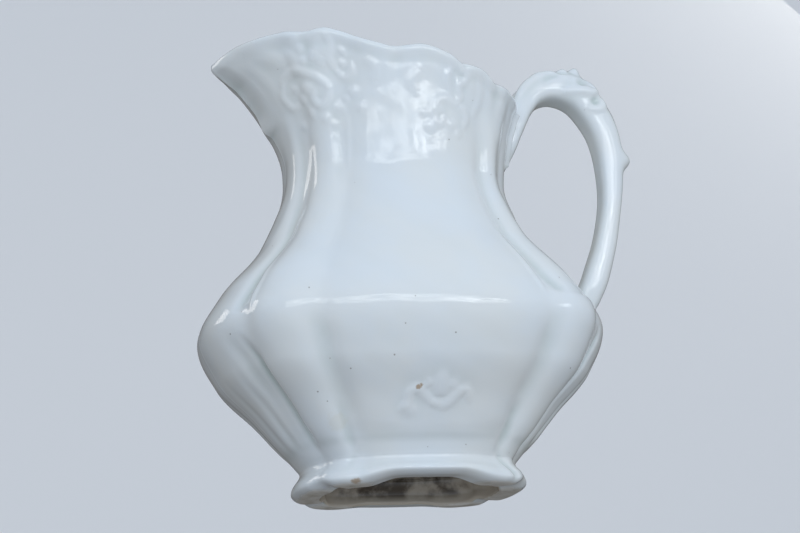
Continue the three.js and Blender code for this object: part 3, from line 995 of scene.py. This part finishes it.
def one_sided(name, colour):
    """Pale matt surface that is seen only from its front, so that the jug shows from below too."""
    s = Shader(name)
    s.surface.inputs["Base Color"].default_value = (*colour, 1)
    s.surface.inputs["Roughness"].default_value = 0.8
    s.surface.inputs["Specular IOR Level"].default_value = 0.1
    clear = s.node("ShaderNodeBsdfTransparent")
    choose = s.node("ShaderNodeMixShader")
    s.link(s.node("ShaderNodeNewGeometry").outputs["Backfacing"], choose.inputs[0])
    s.link(s.surface.outputs[0], choose.inputs[1])
    s.link(clear.outputs[0], choose.inputs[2])
    s.link(choose.outputs[0], s.tree.nodes["Material Output"].inputs["Surface"])
    return s.material


# Direction that the soft light of the room comes from, and its colour by share of the way round to it
SOFT_FROM = (-0.08, -0.90, 0.45)
ROOM = [
    (0.0, (0.07, 0.065, 0.06)),
    (0.3, (0.18, 0.175, 0.17)),
    (0.5, (0.42, 0.435, 0.46)),
    (0.7, (0.52, 0.58, 0.665)),
    (1.0, (0.62, 0.70, 0.84)),
]
ROOM_STRENGTH = 1.05
AIM = (0, 0, 0.06)
FLOOR_SIZE, BACKDROP_SIZE, BACKDROP_AWAY = 4.0, 6.0, 1.0
# Lights: name, place, width and height, watts, colour, mirrored in the glaze, broken up by leaves
LIGHTS = [
    ("window", (-0.10, -0.95, 0.42), (1.1, 0.36), 2.9, (0.93, 0.98, 1.0), True, True),
    ("second_window", (0.48, -0.92, 0.34), (0.5, 0.2), 0.9, (0.95, 0.98, 1.0), True, True),
    ("fill", (0.85, -0.55, 0.20), (0.6, 0.6), 0.5, (0.97, 0.98, 1.0), False, False),
    ("side_window", (-0.78, 0.48, 0.50), (0.26, 0.36), 0.7, (1.0, 0.97, 0.93), True, False),
    ("behind", (0.45, 1.1, 0.55), (0.9, 0.7), 10, (1.0, 0.99, 0.97), False, False),
]
# Camera: degrees round from the front, up, and tipped; metres away; aimed at, from the jug axis
CAMERA_ROUND, CAMERA_UP, CAMERA_TIP = -13, -16, 3
CAMERA_AWAY = 0.480
CAMERA_AIM = (0.8, 0, 62)


def sheet(name, size, matrix, material):
    """Large square of the stage that neither shades the jug nor shows in it."""
    mesh = bpy.data.meshes.new(name)
    h = size / 2
    mesh.from_pydata([(-h, -h, 0), (h, -h, 0), (h, h, 0), (-h, h, 0)], [], [(0, 1, 2, 3)])
    obj = bpy.data.objects.new(name, mesh)
    obj.matrix_world = matrix
    mesh.materials.append(material)
    bpy.context.scene.collection.objects.link(obj)
    obj.visible_shadow = False
    obj.visible_diffuse = False
    obj.visible_glossy = False


def make_stage():
    sheet("floor", FLOOR_SIZE, Matrix.Identity(4), one_sided("pale_floor", (0.78, 0.77, 0.75)))
    upright = Matrix.Translation((0, BACKDROP_AWAY, 0)) @ Matrix.Rotation(radians(90), 4, "X")
    sheet("backdrop", BACKDROP_SIZE, upright, one_sided("pale_backdrop", (0.80, 0.79, 0.77)))


def area_light(name, place, size, watts, colour):
    """Soft rectangle of light aimed at the middle of the jug."""
    light = bpy.data.lights.new(name, "AREA")
    light.shape = "RECTANGLE"
    light.size, light.size_y = size
    light.energy = watts
    light.color = colour
    obj = bpy.data.objects.new(name, light)
    obj.location = place
    obj.rotation_euler = (Vector(AIM) - Vector(place)).to_track_quat("-Z", "Y").to_euler()
    obj.visible_camera = False
    bpy.context.scene.collection.objects.link(obj)
    return obj


def through_leaves(light):
    """Breaks a window up softly, as trees outside it would."""
    light.use_nodes = True
    tree = light.node_tree
    noise = tree.nodes.new("ShaderNodeTexNoise")
    noise.inputs["Scale"].default_value = 5.0
    noise.inputs["Detail"].default_value = 4.0
    tree.links.new(tree.nodes.new("ShaderNodeNewGeometry").outputs["Parametric"], noise.inputs["Vector"])
    gaps = tree.nodes.new("ShaderNodeMapRange")
    for key, number in zip(RANGE_SOCKETS, (0.42, 0.56, 0.25, 1.5)):
        gaps.inputs[key].default_value = number
    tree.links.new(noise.outputs["Fac"], gaps.inputs["Value"])
    tree.links.new(gaps.outputs["Result"], tree.nodes["Emission"].inputs["Strength"])


def make_world():
    """Soft studio: brightest in front and above, falling away behind and below."""
    world = bpy.data.worlds.new("studio")
    world.use_nodes = True
    tree = world.node_tree
    direction = tree.nodes.new("ShaderNodeTexCoord").outputs["Generated"]
    toward = tree.nodes.new("ShaderNodeVectorMath")
    toward.operation = "DOT_PRODUCT"
    tree.links.new(direction, toward.inputs[0])
    toward.inputs[1].default_value = Vector(SOFT_FROM).normalized()
    ramp = tree.nodes.new("ShaderNodeValToRGB")
    share = tree.nodes.new("ShaderNodeMapRange")
    share.inputs["From Min"].default_value = -1
    share.inputs["From Max"].default_value = 1
    tree.links.new(toward.outputs["Value"], share.inputs["Value"])
    tree.links.new(share.outputs["Result"], ramp.inputs["Fac"])
    stops = ramp.color_ramp.elements
    stops[0].color = (*ROOM[0][1], 1)
    stops[1].color = (*ROOM[-1][1], 1)
    for place, colour in ROOM[1:-1]:
        stops.new(place).color = (*colour, 1)
    tree.links.new(ramp.outputs["Color"], tree.nodes["Background"].inputs["Color"])
    tree.nodes["Background"].inputs["Strength"].default_value = ROOM_STRENGTH
    bpy.context.scene.world = world


def make_lights():
    for name, place, size, watts, colour, in_glaze, leafy in LIGHTS:
        light = area_light(name, place, size, watts, colour)
        light.visible_glossy = in_glaze
        if leafy:
            through_leaves(light.data)


def make_camera():
    """Below and a little to the spout side of the front, tipped slightly, as the photograph was taken."""
    azimuth, elevation, roll = radians(CAMERA_ROUND), radians(CAMERA_UP), radians(CAMERA_TIP)
    x, y, z = CAMERA_AIM
    target = Vector(((AXIS_X + x) * MM, y * MM, z * MM))
    back = Vector((sin(azimuth) * cos(elevation), -cos(azimuth) * cos(elevation), sin(elevation)))
    right = Vector((0, 0, 1)).cross(back).normalized()
    up = back.cross(right)
    tipped_right = cos(roll) * right - sin(roll) * up
    tipped_up = sin(roll) * right + cos(roll) * up
    camera = bpy.data.cameras.new("camera")
    camera.lens = 50
    camera.sensor_width = 22.3
    camera.clip_start = 0.01
    obj = bpy.data.objects.new("camera", camera)
    axes = Matrix((tipped_right, tipped_up, back)).transposed()
    obj.matrix_world = Matrix.Translation(target + CAMERA_AWAY * back) @ axes.to_4x4()
    bpy.context.scene.collection.objects.link(obj)
    bpy.context.scene.camera = obj


make_camera()
make_stage()
make_world()
make_lights()
bpy.context.scene.view_settings.view_transform = "Standard"

body_glaze = glaze("body_glaze")
foot_glaze = glaze("foot_glaze", foot=True)
base_glaze = glaze("base_glaze", base=True)

front, back = make_body()
base = make_base()
foot = make_foot()
handle, handle_grid = make_handle()
upper, lower = [make_lute(handle_grid, *row) for row in LUTES]

for piece, material, slot in (
    (front, body_glaze, "body_glaze"),
    (back, body_glaze, "body_glaze"),
    (base, base_glaze, "body_glaze"),
    (foot, foot_glaze, "foot_glaze"),
    (handle, body_glaze, "handle_glaze"),
    (upper, body_glaze, "slip"),
    (lower, body_glaze, "slip"),
):
    piece.data.materials.append(material)
    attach(piece, "root")
